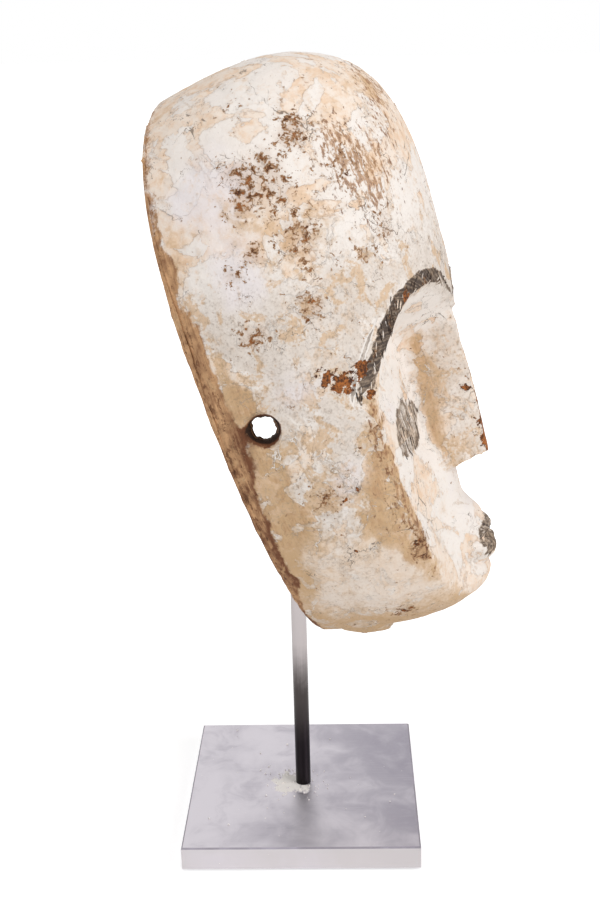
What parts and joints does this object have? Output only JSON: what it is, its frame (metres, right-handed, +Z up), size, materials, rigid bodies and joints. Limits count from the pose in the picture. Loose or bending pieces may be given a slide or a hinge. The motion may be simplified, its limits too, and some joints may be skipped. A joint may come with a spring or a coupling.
{
  "type": "carved wooden mask on a display stand",
  "caption": "Deep hollow carved wooden mask whitened with clay, with charcoal brows, on a round steel post that turns in a square steel base plate; the mask lifts off its hidden rests.",
  "frame": {"origin": "centre of the stand's felt underside, on the post's axis", "axes": "+Z up along the post, the mask faces -Y, +X towards the mask's own left"},
  "size_m": [0.1674, 0.172, 0.3918],
  "materials": {
    "clay_on_wood": "carved wood under worn, flaking white clay",
    "plate_steel": "waxed hot-rolled steel with smudges",
    "post_steel": "polished drawn steel",
    "screw_steel": "plain machined steel",
    "tip_rubber": "matt black rubber",
    "felt": "pressed wool felt"
  },
  "bodies": {
    "base": {"base_plate": "plate_steel", "base_felt": "felt"},
    "stand_post": {"post": "post_steel", "base_screw": "screw_steel", "crossbar": "post_steel", "crossbar_tip_left": "tip_rubber", "crossbar_tip_right": "tip_rubber", "face_arm": "post_steel", "face_arm_tip": "tip_rubber"},
    "mask_body": {"mask": "clay_on_wood"}
  },
  "joints": [
    {"name": "post_turn", "type": "hinge", "parent": "base", "child": "stand_post", "pos_m": [0, 0, 0.0135], "axis": [0, 0, 1], "continuous": true},
    {"name": "mask_lift", "type": "slide", "parent": "stand_post", "child": "mask_body", "axis": [0, -0.866, 0.5], "range_m": [0, 0.2]}
  ]
}
